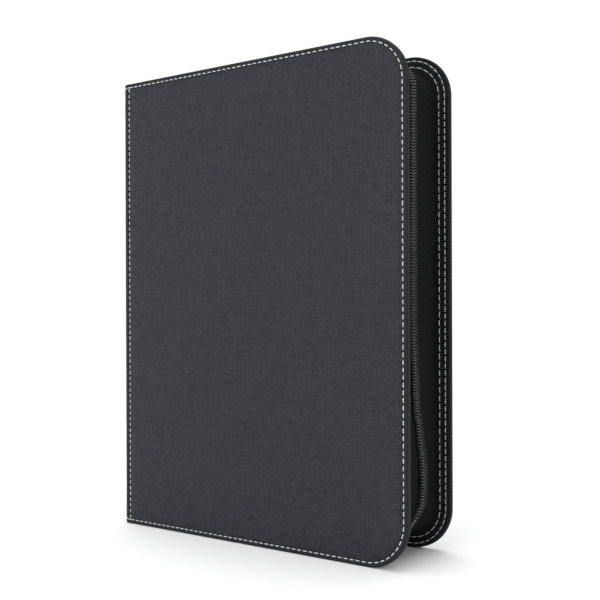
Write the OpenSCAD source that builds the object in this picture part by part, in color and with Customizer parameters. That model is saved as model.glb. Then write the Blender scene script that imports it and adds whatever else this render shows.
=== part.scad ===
// Zip-around binder for trading cards.
// It stands on its lower edges: X runs from the spine to the fore-edge, Y from the
// front cover to the rear cover, and Z up. The origin is the middle of the footprint.

/* [Overall size] */
// Height of the closed binder
binder_h = 254; // [210:1:310]
// Width of the closed binder, from spine to fore-edge
binder_w = 186; // [180:1:230]
// Thickness of the closed binder, outside to outside
binder_t = 50; // [44:1:60]

/* [Covers and spine] */
// Corner radius of the covers at the fore-edge
corner_r = 22.5; // [18:0.5:30]
// Outside radius of the crease between a cover and the spine
crease_r = 4; // [3.6:0.1:5]
// Thickness of the leatherette outer skin
skin_t = 0.8; // [0.5:0.1:1]
// Thickness of the foam pad under the skin
pad_t = 0.8; // [0.4:0.1:1]
// Thickness of the stiff board in each cover and in the spine
board_t = 1.6; // [1:0.1:1.8]
// Thickness of the inner lining
lining_t = 0.4; // [0.2:0.1:0.6]
// Gap between a crease strip and the edge of its cover
crease_gap = 0.4; // [0.3:0.1:0.8]

/* [Stitching] */
// Width of a row of thread
thread_w = 0.9; // [0.6:0.1:1.2]
// Depth of a thread row below the surface that it is sewn into
thread_d = 0.3; // [0.2:0.05:0.4]
// Distance from the fore-edge to the cover's row of stitches
fore_stitch_inset = 2.4; // [2:0.1:5]
// Distance from the top and bottom edges to the cover's row of stitches
edge_stitch_inset = 2.4; // [2:0.1:4]
// Distance from the cover's crease edge to its row of stitches
crease_stitch_inset = 0.6; // [0.6:0.1:3]
// Distance from the spine's two ends to its rows of stitches
spine_stitch_inset = 4.6; // [2:0.1:6]

/* [Zip] */
// Distance from the cover's edge to the outer face of the zip tape
tape_inset = 8.4; // [8:0.1:12]
// Thickness of the zip tape
tape_t = 0.6; // [0.4:0.1:0.8]
// Thickness of the ribbed webbing that the tape is sewn to
webbing_t = 0.9; // [0.6:0.1:1.2]
// Distance from the cover's edge to the webbing
webbing_inset = 0.5; // [0.4:0.1:2]
// Width of the webbing
webbing_w = 13; // [11:0.5:15]
// Distances from the cover's edge to the webbing's two rows of stitches
webbing_rows = [2.4, 5.6];
// Thickness of the coil, standing on the tape
coil_t = 2.2; // [1.6:0.1:2.6]
// Width across both coils of the closed chain
chain_w = 6.2; // [5:0.1:7]
// Width of the free space between the two coils
chain_gap = 3; // [2.6:0.1:3.4]
// Length of a zip stop
stop_l = 2.4; // [1.5:0.1:4]
// Distance from the cover's crease edge to the ends of the zip tape
tape_end_gap = 5.6; // [4:0.1:8]
// Length of bare tape before the chain's lower stop
tape_tail = 5; // [2:0.5:8]

/* [Slider and pull] */
// Length of the slider
slider_l = 12; // [9:0.5:14]
// Width of the slider at its nose
nose_w = 11; // [9.5:0.5:13]
// Thickness of the slider's plates and flanges
slider_wall = 1; // [0.8:0.1:1.3]
// Clearance between the slider and the chain
slider_gap = 0.25; // [0.2:0.05:0.4]
// Radius of the pull's crossbar
pull_pin_r = 0.7; // [0.5:0.05:0.8]
// Length of the pull from its crossbar
pull_l = 25; // [16:1:28]
// Width of the pull
pull_w = 8; // [7:0.5:9]
// Thickness of the pull
pull_t = 1.3; // [1:0.1:1.6]
// Room between the spine's lining and the pull when it is folded back
pull_spine_gap = 2.6; // [1:0.1:6]

/* [Pages] */
// Number of card pages, which is even
page_count = 20; // [8:2:20]
// Thickness of an empty page
page_t = 0.4; // [0.3:0.05:0.5]
// Clearance between pages that lie flat on each other
page_clearance = 0.1; // [0.1:0.05:0.3]
// Clearance between the stack of pages and the webbing of each cover
stack_gap = 2.5; // [2:0.1:4]
// Distance from the longest page's free edge to the zip tape
page_fore_gap = 14.7; // [8:0.1:25]
// Distance from a page's top and bottom edges to the zip tape
page_end_gap = 19.6; // [14:0.1:30]
// Corner radius of a page
page_r = 4; // [1:0.5:8]
// Thickness of the page binding strip at its two long edges
strip_t = 3; // [2:0.1:5]

/* [Hidden] */
$fn = 64;
cut = 1;

cover_t = skin_t + pad_t + board_t + lining_t;
spine_t = skin_t + board_t + lining_t;
spine_x = -binder_w / 2;
fore_x = binder_w / 2;
cover_x = spine_x + crease_r + crease_gap;
outer_y = -binder_t / 2;
inner_y = outer_y + cover_t;
webbing_y = inner_y + webbing_t;
spine_half = binder_t / 2 - crease_r;
spine_inner_x = spine_x + spine_t;

coil_w = (chain_w - chain_gap) / 2;
tape_edge_y = -chain_gap / 2;
tape_start_x = cover_x + tape_end_gap;
stay_gap = 1;
stay_w = binder_t / 2;

park_gap = 0.4;
// The slider is parked this far short of its stops, so the front stop swings clear of its nose.
slider_park = (nose_w - chain_gap) / 2 + 0.6;
pin_x = spine_inner_x + pull_spine_gap + slider_park + pull_l;
slider_x = pin_x - slider_l / 2;
coil_top_x = slider_x + slider_l + park_gap;
stop_top_x = slider_x - slider_park - park_gap - stop_l;
stop_bottom_x = tape_start_x + tape_tail;
coil_bottom_x = stop_bottom_x + stop_l;
stop_lip = 0.5;
stop_h = coil_t + tape_t + stop_lip;

tape_top_z = binder_h - tape_inset;
tape_low_z = tape_top_z - tape_t;
chain_top_z = tape_top_z + coil_t;
plate_low_z = tape_low_z - slider_gap - slider_wall;
plate_top_z = chain_top_z + slider_gap + slider_wall;
tail_w = chain_w + 2 * (slider_gap + slider_wall);
wedge_w = chain_gap - 2 * slider_gap;
wedge_l = slider_l / 3;
wedge_inset = 0.6;
nose_chamfer = 1;
bridge_w = 2.2;
bridge_l = 6.4;
bridge_wall = 0.9;
pin_gap_low = 0.55;
pin_gap_high = 0.35;
pin_z = plate_top_z + pull_pin_r + pin_gap_low;
bridge_h = 2 * pull_pin_r + pin_gap_low + pin_gap_high + bridge_wall;
pull_arm_gap = 0.4;
pull_eye_l = bridge_l / 2 + 1.2;
pull_hole_r = 1.5;

page_half = page_count / 2;
page_pitch = -2 * (webbing_y + stack_gap) / page_count;
page_step = page_t + page_clearance;
page_crown = page_step * (page_half - 1);
page_lift = 0.6;
page_root = 0.5;
fold_x = spine_inner_x + strip_t + page_lift;
page_w = fore_x - tape_inset - tape_t - page_fore_gap - fold_x - page_root - page_crown;
page_z = tape_inset + tape_t + page_end_gap;
page_h = binder_h - 2 * page_z;
strip_rim = page_pitch / 2;
strip_half = page_half * page_pitch + strip_rim;

function two_digits(n) = n < 10 ? str("0", n) : str(n);
function page_name(n) = str("page_", two_digits(n));
function page_y(n) = (n - page_half - 0.5) * page_pitch;
function page_x(n) = fold_x + page_crown - page_step * (abs(n - page_half - 0.5) - 0.5);

SPINE_NODES = ["spine_board", "spine_skin", "spine_lining", "spine_thread", "front_crease",
    "rear_crease", "binding_strip", "zip_stays"];
COVER_NODES = ["board", "pad", "skin", "lining", "edge_thread", "webbing", "webbing_thread",
    "tape", "coil", "zip_stops"];

// ---- Shapes that repeat ----

// A rectangle in X and Z with square corners at low X and round ones at high X.
module fore_rounded(x0, x1, z0, z1, r) {
    translate([x0, z0]) square([x1 - x0 - r, z1 - z0]);
    translate([x0, z0 + r]) square([x1 - x0, z1 - z0 - 2 * r]);
    for (z = [z0 + r, z1 - r]) translate([x1 - r, z]) circle(r);
}

// The cover's outline, drawn in from its edges all round.
module cover_outline(inset) {
    fore_rounded(cover_x + inset, fore_x - inset, inset, binder_h - inset, corner_r - inset);
}

// A band that follows the top, fore and bottom edges, open towards the spine.
module edge_band(x0, inset, width) {
    difference() {
        fore_rounded(x0, fore_x - inset, inset, binder_h - inset, corner_r - inset);
        fore_rounded(
            x0 - cut,
            fore_x - inset - width,
            inset + width,
            binder_h - inset - width,
            corner_r - inset - width
        );
    }
}

// Gives an X and Z outline the thickness t, from y upwards in Y.
module slab(y, t) {
    translate([0, y + t, 0]) rotate([90, 0, 0]) linear_extrude(t) children();
}

// The closed row of stitches round a cover, as a band of the width w about its middle line.
module stitch_loop(w) {
    x0 = cover_x + crease_stitch_inset;
    x1 = fore_x - fore_stitch_inset;
    z0 = edge_stitch_inset;
    z1 = binder_h - edge_stitch_inset;
    r = corner_r - fore_stitch_inset;
    difference() {
        fore_rounded(x0 - w / 2, x1 + w / 2, z0 - w / 2, z1 + w / 2, r + w / 2);
        fore_rounded(x0 + w / 2, x1 - w / 2, z0 + w / 2, z1 - w / 2, r - w / 2);
    }
}

module webbing_row_bands() {
    for (row = webbing_rows) edge_band(cover_x + webbing_inset, row - thread_w / 2, thread_w);
}

// ---- Pieces of a cover, drawn at the front ----

module cover_board() {
    color("tan") slab(outer_y + skin_t + pad_t, board_t) cover_outline(skin_t);
}

module cover_pad() {
    color("gainsboro") slab(outer_y + skin_t, pad_t) cover_outline(skin_t);
}

// The leatherette, turned in over the edges of the board.
module cover_skin() {
    color([0.2, 0.2, 0.22]) difference() {
        slab(outer_y, cover_t) cover_outline(0);
        slab(outer_y + skin_t, cover_t) cover_outline(skin_t);
        slab(outer_y - cut, cut + thread_d) stitch_loop(thread_w);
    }
}

module cover_lining() {
    color([0.12, 0.12, 0.13]) slab(inner_y - lining_t, lining_t) cover_outline(skin_t);
}

module cover_edge_thread() {
    color("white") slab(outer_y, thread_d) stitch_loop(thread_w);
}

module cover_webbing() {
    color([0.1, 0.1, 0.11]) difference() {
        slab(inner_y, webbing_t) edge_band(cover_x + webbing_inset, webbing_inset, webbing_w);
        slab(webbing_y - thread_d, thread_d + cut) webbing_row_bands();
    }
}

module cover_webbing_thread() {
    color("white") slab(webbing_y - thread_d, thread_d) webbing_row_bands();
}

module cover_tape() {
    color([0.08, 0.08, 0.09])
        slab(webbing_y, tape_edge_y - webbing_y) edge_band(tape_start_x, tape_inset, tape_t);
}

// One coil of the chain. It starts behind the slider on the top run.
module cover_coil() {
    color([0.05, 0.05, 0.06]) difference() {
        slab(tape_edge_y - coil_w, coil_w)
            edge_band(coil_bottom_x, tape_inset - coil_t, coil_t);
        translate([coil_bottom_x - cut, -binder_t / 2, binder_h / 2])
            cube([coil_top_x - coil_bottom_x + cut, binder_t, binder_h / 2]);
    }
}

// A stop clipped over the tape's edge at each end of the chain.
module cover_zip_stops() {
    color("dimgray") difference() {
        union() {
            stop_block(stop_top_x, chain_top_z - stop_h);
            stop_block(stop_bottom_x, binder_h - chain_top_z);
        }
        cover_tape();
    }
}

module stop_block(x, z) {
    translate([x, tape_edge_y - coil_w, z]) cube([stop_l, coil_w, stop_h]);
}

module front_board() cover_board();
module front_pad() cover_pad();
module front_skin() cover_skin();
module front_lining() cover_lining();
module front_edge_thread() cover_edge_thread();
module front_webbing() cover_webbing();
module front_webbing_thread() cover_webbing_thread();
module front_tape() cover_tape();
module front_coil() cover_coil();
module front_zip_stops() cover_zip_stops();

module at_rear() mirror([0, 1, 0]) children();
module rear_board() at_rear() cover_board();
module rear_pad() at_rear() cover_pad();
module rear_skin() at_rear() cover_skin();
module rear_lining() at_rear() cover_lining();
module rear_edge_thread() at_rear() cover_edge_thread();
module rear_webbing() at_rear() cover_webbing();
module rear_webbing_thread() at_rear() cover_webbing_thread();
module rear_tape() at_rear() cover_tape();
module rear_coil() at_rear() cover_coil();
module rear_zip_stops() at_rear() cover_zip_stops();

// ---- Spine ----

// A plate against the spine, from x towards the pages, short of the ends by the inset.
module spine_plate(x, t, inset) {
    translate([x, -spine_half, inset]) cube([t, 2 * spine_half, binder_h - 2 * inset]);
}

module spine_row_bars() {
    for (z = [spine_stitch_inset, binder_h - spine_stitch_inset])
        translate([spine_x, -spine_half, z - thread_w / 2])
            cube([thread_d, 2 * spine_half, thread_w]);
}

module spine_board() {
    color("tan") spine_plate(spine_x + skin_t, board_t, skin_t);
}

module spine_skin() {
    color([0.2, 0.2, 0.22]) difference() {
        spine_plate(spine_x, spine_t, 0);
        translate([0, -cut, 0]) spine_plate(spine_x + skin_t, spine_t, skin_t);
        translate([0, cut, 0]) spine_plate(spine_x + skin_t, spine_t, skin_t);
        spine_row_bars();
    }
}

module spine_lining() {
    color([0.12, 0.12, 0.13]) spine_plate(spine_inner_x - lining_t, lining_t, skin_t);
}

module spine_thread() {
    color("white") spine_row_bars();
}

// The quarter round of leatherette that joins the spine to a cover.
module crease() {
    centre = [spine_x + crease_r, outer_y + crease_r, 0];
    color([0.2, 0.2, 0.22]) translate(centre) intersection() {
        difference() {
            cylinder(h = binder_h, r = crease_r);
            translate([0, 0, -cut]) cylinder(h = binder_h + 2 * cut, r = crease_r - skin_t);
        }
        translate([-2 * crease_r, -2 * crease_r, 0])
            cube([2 * crease_r, 2 * crease_r, binder_h]);
    }
}

module front_crease() crease();
module rear_crease() at_rear() crease();

// The strip that holds the pages. Its face rises to a ridge, so the pages lie flat on each other.
module binding_strip() {
    flat = page_pitch / 2;
    edge_t = strip_t - page_step / page_pitch * (strip_half - flat) + page_crown;
    ridge_t = strip_t + page_crown;
    color([0.1, 0.1, 0.11]) translate([spine_inner_x, 0, page_z])
        linear_extrude(page_h)
            polygon([
                [0, -strip_half],
                [edge_t, -strip_half],
                [ridge_t, -flat],
                [ridge_t, flat],
                [edge_t, strip_half],
                [0, strip_half]
            ]);
}

// The fabric stays that tie the two ends of the zip to the spine.
module zip_stays() {
    stay_l = tape_start_x - stay_gap - spine_inner_x;
    color([0.1, 0.1, 0.11])
        for (z = [tape_low_z, binder_h - tape_top_z])
            translate([spine_inner_x, -stay_w / 2, z]) cube([stay_l, stay_w, tape_t]);
}

// ---- Slider and pull, parked at the spine end of the top run ----

module slider_plan() {
    taper = slider_l / 3;
    polygon([
        [0, nose_chamfer - nose_w / 2],
        [nose_chamfer, -nose_w / 2],
        [taper, -nose_w / 2],
        [2 * taper, -tail_w / 2],
        [slider_l, -tail_w / 2],
        [slider_l, tail_w / 2],
        [2 * taper, tail_w / 2],
        [taper, nose_w / 2],
        [nose_chamfer, nose_w / 2],
        [0, nose_w / 2 - nose_chamfer]
    ]);
}

module slider_body() {
    channel_w = chain_w + 2 * slider_gap;
    flange_z = tape_top_z + slider_gap;
    color("dimgray") {
        difference() {
            translate([slider_x, 0, plate_low_z])
                linear_extrude(plate_top_z - plate_low_z) slider_plan();
            slider_passage(channel_w, plate_top_z - slider_wall);
            slider_passage(2 * nose_w, flange_z);
        }
        translate([slider_x + wedge_inset, -wedge_w / 2, plate_low_z + slider_wall / 2])
            cube([wedge_l, wedge_w, plate_top_z - plate_low_z - slider_wall]);
        bridge();
    }
}

// A way through the slider from its lower plate up to z_top.
module slider_passage(w, z_top) {
    z = plate_low_z + slider_wall;
    translate([slider_x - cut, -w / 2, z]) cube([slider_l + 2 * cut, w, z_top - z]);
}

// The arch that the pull's crossbar turns in.
module bridge() {
    window_l = bridge_l - 2 * bridge_wall;
    difference() {
        translate([pin_x - bridge_l / 2, -bridge_w / 2, plate_top_z])
            cube([bridge_l, bridge_w, bridge_h]);
        translate([pin_x - window_l / 2, -bridge_w, plate_top_z])
            cube([window_l, 2 * bridge_w, bridge_h - bridge_wall]);
    }
}

// The pull lies along the chain, towards the fore-edge.
module pull_tab() {
    eye_w = bridge_w + 2 * pull_arm_gap;
    end_r = pull_w / 2;
    translate([pin_x, 0, pin_z]) color("dimgray") {
        difference() {
            translate([0, 0, -pull_t / 2]) linear_extrude(pull_t) difference() {
                union() {
                    translate([0, -pull_w / 2]) square([pull_l - end_r, pull_w]);
                    translate([pull_l - end_r, 0]) circle(end_r);
                }
                translate([-cut, -eye_w / 2]) square([pull_eye_l + cut, eye_w]);
            }
            translate([pull_l - end_r, 0, -pull_t]) cylinder(h = 2 * pull_t, r = pull_hole_r);
        }
        rotate([90, 0, 0]) translate([0, 0, -pull_w / 2])
            cylinder(h = pull_w, r = pull_pin_r);
    }
}

// ---- Pages ----

module page(n) {
    x0 = page_x(n) + page_root;
    color(n % 2 == 0 ? [0.16, 0.16, 0.18] : [0.22, 0.22, 0.25])
        slab(page_y(n) - page_t / 2, page_t)
            fore_rounded(x0, x0 + page_w, page_z, page_z + page_h, page_r);
}

// ---- The binder ----

spine_board();
spine_skin();
spine_lining();
spine_thread();
front_crease();
rear_crease();
binding_strip();
zip_stays();

front_board();
front_pad();
front_skin();
front_lining();
front_edge_thread();
front_webbing();
front_webbing_thread();
front_tape();
front_coil();
front_zip_stops();

rear_board();
rear_pad();
rear_skin();
rear_lining();
rear_edge_thread();
rear_webbing();
rear_webbing_thread();
rear_tape();
rear_coil();
rear_zip_stops();

slider_body();
pull_tab();

for (n = [1 : page_count])
    page(n);
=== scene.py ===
"""Looks of the zip-around trading card binder.

Every length is in metres, in the CAD frame: X from the spine to the fore-edge, Y from the front
cover to the rear cover, Z up. The pieces take their places from the CAD nodes' boxes.
"""

import math

import bmesh
import bpy
from mathutils import Euler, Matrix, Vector


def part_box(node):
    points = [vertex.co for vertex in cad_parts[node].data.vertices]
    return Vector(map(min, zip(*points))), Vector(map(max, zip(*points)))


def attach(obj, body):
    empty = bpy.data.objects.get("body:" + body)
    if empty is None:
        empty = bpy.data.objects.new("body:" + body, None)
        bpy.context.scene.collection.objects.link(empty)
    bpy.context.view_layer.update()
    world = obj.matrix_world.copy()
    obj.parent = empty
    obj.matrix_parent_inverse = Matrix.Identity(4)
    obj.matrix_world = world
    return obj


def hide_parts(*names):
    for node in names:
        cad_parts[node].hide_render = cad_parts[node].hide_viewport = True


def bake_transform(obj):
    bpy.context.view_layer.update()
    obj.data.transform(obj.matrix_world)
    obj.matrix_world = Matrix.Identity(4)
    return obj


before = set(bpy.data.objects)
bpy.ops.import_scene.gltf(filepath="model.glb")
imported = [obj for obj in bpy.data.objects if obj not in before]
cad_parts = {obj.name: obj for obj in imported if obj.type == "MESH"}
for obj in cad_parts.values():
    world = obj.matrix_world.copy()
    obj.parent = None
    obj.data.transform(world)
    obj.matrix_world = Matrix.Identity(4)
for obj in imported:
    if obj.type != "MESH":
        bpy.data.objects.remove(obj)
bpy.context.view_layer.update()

SIDES = ("front", "rear")
OUTWARD = {"front": -1, "rear": 1}

# ---- Sizes read from the CAD nodes ----

skin_low, skin_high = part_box("front_skin")
crease_low, crease_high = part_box("front_crease")
thread_low, thread_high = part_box("front_edge_thread")
webbing_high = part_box("front_webbing")[1]
tape_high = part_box("front_tape")[1]
coil_low, coil_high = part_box("front_coil")
board_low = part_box("front_board")[0]
spine_low, spine_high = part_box("spine_skin")
spine_row_low, spine_row_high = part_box("spine_thread")
strip_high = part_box("binding_strip")[1]
stay_low, stay_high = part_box("zip_stays")

HALF_T = -skin_low.y
HEIGHT = skin_high.z
COVER_X = skin_low.x
FORE_X = skin_high.x
CREASE_X = crease_high.x
SPINE_X = crease_low.x
CREASE_R = CREASE_X - SPINE_X
COVER_T = skin_high.y - skin_low.y
BOARD_DEPTH = board_low.y - skin_low.y
WEBBING_Y = -webbing_high.y
CORNER_R = 0.0225

# ---- Sizes of the fine shapes ----

THREAD_R = 0.00025
STITCH_SIDES = 6
STITCH_LIFT = 0.00034
STITCH_FLATNESS = 0.8
EDGE_PITCH = 0.00345

# The pitch of the stitches on each of a ring's six spans.
SPAN_PITCHES = (0.00345, 0.0035, 0.00357, 0.0035, 0.00345, 0.00331)

# From the side of a row of stitches in the CAD to its middle line.
THREAD_HALF = 0.00045

LOOP_SAMPLES = 4
BORDER_DEPTH = 0.0008
GROOVE_DEPTH = 0.00115
HOLE_DEPTH = 0.00022
SWAY_H = 0.00007
RIB_PITCH = 0.0012
TWILL_PITCH = 0.0013
LINEN_PITCH = 0.00108
RIB_H = 0.00034
COIL_PITCH = 0.00145
COIL_WIRE_R = 0.00034
COIL_TURN_POINTS = 10
COIL_SIDES = 5
LEATHER_T = 0.0008
STAY_STEP = 0.0005
PAGE_SHEET_T = 0.00022
PAGE_FILM_T = 0.00008
PAGE_FOLD = 0.0005

# A wave texture of scale 1 repeats after this length.
WAVE_METRES = math.tau / 20


# ---- Procedural materials ----


class Graph:
    """One node material. Each method adds a node and returns its output."""

    def __init__(self, name):
        self.material = bpy.data.materials.new(name)
        self.material.use_nodes = True
        self.nodes = self.material.node_tree.nodes
        self.links = self.material.node_tree.links
        self.shader = self.nodes["Principled BSDF"]

    def add(self, kind, inputs=None, **settings):
        node = self.nodes.new("ShaderNode" + kind)
        for key, value in settings.items():
            setattr(node, key, value)
        for key, value in (inputs or {}).items():
            self.feed(node.inputs[key], value)
        return node

    def feed(self, socket, value):
        if isinstance(value, bpy.types.NodeSocket):
            self.links.new(value, socket)
        else:
            socket.default_value = value

    def places(self, scale=(1, 1, 1), turn=0.0):
        """The rest position in metres, scaled along each axis."""
        source = self.add("TexCoord").outputs["Object"]
        return self.scaled(source, scale, turn)

    def cloth(self, scale=(1, 1, 1), turn=0.0):
        """The real-scale coordinates that the mesh carries: along it, across it, and height."""
        source = self.add("Attribute", attribute_name="cloth").outputs["Vector"]
        return self.scaled(source, scale, turn)

    def scaled(self, source, scale, turn):
        inputs = {"Vector": source, "Scale": scale, "Rotation": (0, 0, turn)}
        return self.add("Mapping", inputs).outputs["Vector"]

    def noise(self, vector, scale=1.0, detail=2.0, roughness=0.5):
        inputs = {"Vector": vector, "Scale": scale, "Detail": detail, "Roughness": roughness}
        return self.add("TexNoise", inputs).outputs["Fac"]

    def wave(self, vector, scale, distortion=0.0, direction="X"):
        inputs = {"Vector": vector, "Scale": scale, "Distortion": distortion}
        return self.add("TexWave", inputs, bands_direction=direction).outputs["Fac"]

    def math(self, operation, a, b):
        return self.add("Math", {0: a, 1: b}, operation=operation).outputs["Value"]

    def spread(self, value, low, high, out_low=0.0, out_high=1.0):
        """Maps low..high to out_low..out_high, held at both ends."""
        inputs = {"Value": value, "From Min": low, "From Max": high}
        inputs.update({"To Min": out_low, "To Max": out_high})
        return self.add("MapRange", inputs).outputs["Result"]

    def mix(self, factor, a, b, blend="MIX"):
        node = self.add("Mix", data_type="RGBA", blend_type=blend)
        self.feed(node.inputs[0], factor)
        self.feed(node.inputs[6], (*a, 1) if isinstance(a, tuple) else a)
        self.feed(node.inputs[7], (*b, 1) if isinstance(b, tuple) else b)
        return node.outputs[2]

    def attribute(self, name):
        return self.add("Attribute", attribute_name=name).outputs["Fac"]

    def bump(self, height, distance, strength):
        inputs = {"Height": height, "Distance": distance, "Strength": strength}
        return self.add("Bump", inputs).outputs["Normal"]

    def finish(self, colour, roughness, normal=None, **fixed):
        """Joins the patterns to the shader and sets its plain numbers on its own sockets."""
        self.feed(self.shader.inputs["Base Color"], colour)
        self.feed(self.shader.inputs["Roughness"], roughness)
        if normal is not None:
            self.links.new(normal, self.shader.inputs["Normal"])
        for key, value in fixed.items():
            self.shader.inputs[key.replace("_", " ")].default_value = value
        return self.material


def leatherette_material():
    """Black linen-grained leatherette: short crossing threads, smoother where 'worn' is 1."""
    graph = Graph("linen_leatherette")
    worn = graph.attribute("worn")
    lying = graph.wave(graph.places(), WAVE_METRES / LINEN_PITCH, 2.2, "Z")
    turned = graph.places(turn=math.pi / 4)
    standing = graph.wave(turned, math.sqrt(2) * WAVE_METRES / LINEN_PITCH, 2.2, "X")
    along = graph.noise(graph.places((260, 260, 1100)), detail=1.0, roughness=0.4)
    upright = graph.noise(graph.places((1000, 900, 260)), detail=1.0, roughness=0.4)
    pores = graph.noise(graph.places(), scale=1500)
    blotches = graph.noise(graph.places(), scale=14, detail=3.0)
    wefts = graph.math("MULTIPLY", lying, graph.spread(along, 0.34, 0.6, 0.45, 1.1))
    warps = graph.math("MULTIPLY", standing, graph.spread(upright, 0.4, 0.66, 0.3, 0.8))
    threads = graph.math("ADD", wefts, warps)
    threads = graph.math("MULTIPLY", threads, 0.55)
    grain = graph.math("ADD", threads, graph.math("MULTIPLY", pores, 0.16))
    keep = graph.spread(worn, 0.0, 1.0, 1.0, 0.25)
    height = graph.math("MULTIPLY", grain, keep)
    shade = graph.spread(height, 0.1, 0.78)
    colour = graph.mix(shade, (0.0078, 0.0083, 0.0112), (0.0325, 0.0342, 0.0432))
    tint = graph.mix(graph.spread(blotches, 0.3, 0.7), (0.96, 0.965, 0.98), (1.03, 1.025, 1.02))
    colour = graph.mix(1.0, colour, tint, blend="MULTIPLY")
    roughness = graph.spread(grain, 0.0, 1.0, 0.64, 0.5)
    normal = graph.bump(height, 0.00016, 0.7)
    return graph.finish(colour, roughness, normal, Specular_IOR_Level=0.2)


def lining_material():
    """Thin woven lining: an even plain weave of about 3 threads to the millimetre."""
    graph = Graph("woven_lining")
    warp = graph.wave(graph.places(), 900, 0.5, "X")
    weft = graph.wave(graph.places(), 900, 0.5, "Z")
    slub = graph.noise(graph.places((200, 200, 60)), detail=3.0)
    weave = graph.math("MULTIPLY", warp, weft)
    colour = graph.mix(weave, (0.010, 0.010, 0.012), (0.028, 0.028, 0.032))
    colour = graph.mix(graph.spread(slub, 0.35, 0.75, 0.0, 0.35), colour, (0.034, 0.034, 0.038))
    normal = graph.bump(weave, 0.00012, 0.7)
    return graph.finish(colour, graph.spread(slub, 0, 1, 0.78, 0.9), normal, Sheen_Weight=0.15)


def thread_material(name, dark, light):
    """Twisted polyester thread: slanted plies along each stitch."""
    graph = Graph(name)
    plies = graph.wave(graph.cloth(turn=math.radians(38)), 340, 0.6, "X")
    dirt = graph.noise(graph.places(), scale=230)
    colour = graph.mix(graph.spread(plies, 0.0, 0.6), dark, light)
    colour = graph.mix(graph.spread(dirt, 0.4, 0.75, 0.0, 0.35), colour, dark)
    normal = graph.bump(plies, 0.00016, 0.8)
    return graph.finish(colour, graph.spread(plies, 0, 1, 0.72, 0.5), normal, Sheen_Weight=0.2)


def webbing_material():
    """Black grosgrain: fine warp ends run along it, over the woven ribs of the mesh, with painted shade
    in the valleys between the ribs.
    """
    graph = Graph("ribbed_webbing")
    warp = graph.wave(graph.cloth(), 760, 0.8, "Y")
    slub = graph.noise(graph.cloth((120, 700, 1)), detail=3.0)
    ribs = graph.wave(graph.cloth(), WAVE_METRES / RIB_PITCH, 0.0, "X")
    weave = graph.math("ADD", graph.math("MULTIPLY", warp, 0.4), graph.math("MULTIPLY", slub, 0.6))
    colour = graph.mix(weave, (0.012, 0.0124, 0.0146), (0.036, 0.0372, 0.043))
    # Painted shade: near-black in the valleys between the mesh's ribs, in step with them.
    colour = graph.mix(graph.spread(ribs, 0.3, 0.8), (0.0012, 0.0012, 0.0015), colour)
    normal = graph.bump(weave, 0.0001, 0.8)
    return graph.finish(colour, graph.spread(weave, 0, 1, 0.85, 0.66), normal, Specular_IOR_Level=0.1)


def tape_material():
    """Zip tape: a herringbone twill whose slant turns after each band of its width."""
    graph = Graph("twill_tape")
    source = graph.add("Attribute", attribute_name="cloth").outputs["Vector"]
    parts = graph.add("SeparateXYZ", {"Vector": source})
    band_w = 0.0065
    zigzag = graph.math("PINGPONG", parts.outputs["Y"], band_w)
    slanted = graph.math("ADD", parts.outputs["X"], zigzag)
    turned = graph.add("CombineXYZ", {"X": slanted})
    twill = graph.wave(turned.outputs["Vector"], WAVE_METRES / TWILL_PITCH, 0.2, "X")
    fuzz = graph.noise(graph.cloth((900, 900, 1)), detail=3.0)
    weave = graph.math("ADD", graph.math("MULTIPLY", twill, 0.8), graph.math("MULTIPLY", fuzz, 0.2))
    shade = graph.spread(weave, 0.5, 0.9)
    colour = graph.mix(shade, (0.0002, 0.0002, 0.0003), (0.03, 0.0306, 0.0345))
    normal = graph.bump(weave, 0.00016, 0.8)
    return graph.finish(colour, graph.spread(weave, 0, 1, 0.9, 0.75), normal, Specular_IOR_Level=0.03)


def coil_material():
    """Black nylon monofilament, drawn and slightly scuffed."""
    graph = Graph("nylon_coil")
    scuffs = graph.noise(graph.places(), scale=900, detail=4.0)
    drift = graph.noise(graph.places(), scale=60)
    colour = graph.mix(graph.spread(scuffs, 0.45, 0.75), (0.03, 0.031, 0.034), (0.085, 0.087, 0.092))
    roughness = graph.spread(graph.math("ADD", scuffs, drift), 0.6, 1.4, 0.16, 0.32)
    normal = graph.bump(scuffs, 0.00004, 0.5)
    return graph.finish(colour, roughness, normal, Specular_IOR_Level=0.5)


def zip_metal_material():
    """Black-enamelled zinc, rubbed through to bright metal where the surface is sharp."""
    graph = Graph("enamelled_zinc")
    rubbed = graph.noise(graph.places(), scale=420, detail=5.0, roughness=0.65)
    edges = graph.spread(graph.add("NewGeometry").outputs["Pointiness"], 0.53, 0.6)
    wear = graph.math("MULTIPLY", edges, graph.spread(rubbed, 0.56, 0.74))
    cast = graph.noise(graph.places(), scale=1300, detail=3.0)
    colour = graph.mix(cast, (0.012, 0.012, 0.013), (0.022, 0.022, 0.024))
    colour = graph.mix(wear, colour, (0.34, 0.33, 0.32))
    roughness = graph.spread(cast, 0.3, 0.7, 0.24, 0.4)
    graph.links.new(graph.spread(wear, 0.0, 1.0, 0.25, 1.0), graph.shader.inputs["Metallic"])
    normal = graph.bump(cast, 0.00005, 0.5)
    return graph.finish(colour, roughness, normal, Coat_Weight=0.2, Coat_Roughness=0.2)


def board_material():
    """Grey binder's board: pressed fibre with flecks."""
    graph = Graph("grey_board")
    fibre = graph.noise(graph.places((300, 300, 900)), detail=5.0, roughness=0.7)
    flecks = graph.noise(graph.places(), scale=700)
    colour = graph.mix(fibre, (0.16, 0.145, 0.12), (0.30, 0.275, 0.235))
    colour = graph.mix(graph.spread(flecks, 0.66, 0.74), colour, (0.07, 0.06, 0.05))
    normal = graph.bump(fibre, 0.0002, 0.7)
    return graph.finish(colour, graph.spread(fibre, 0, 1, 0.95, 0.82), normal)


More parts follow.
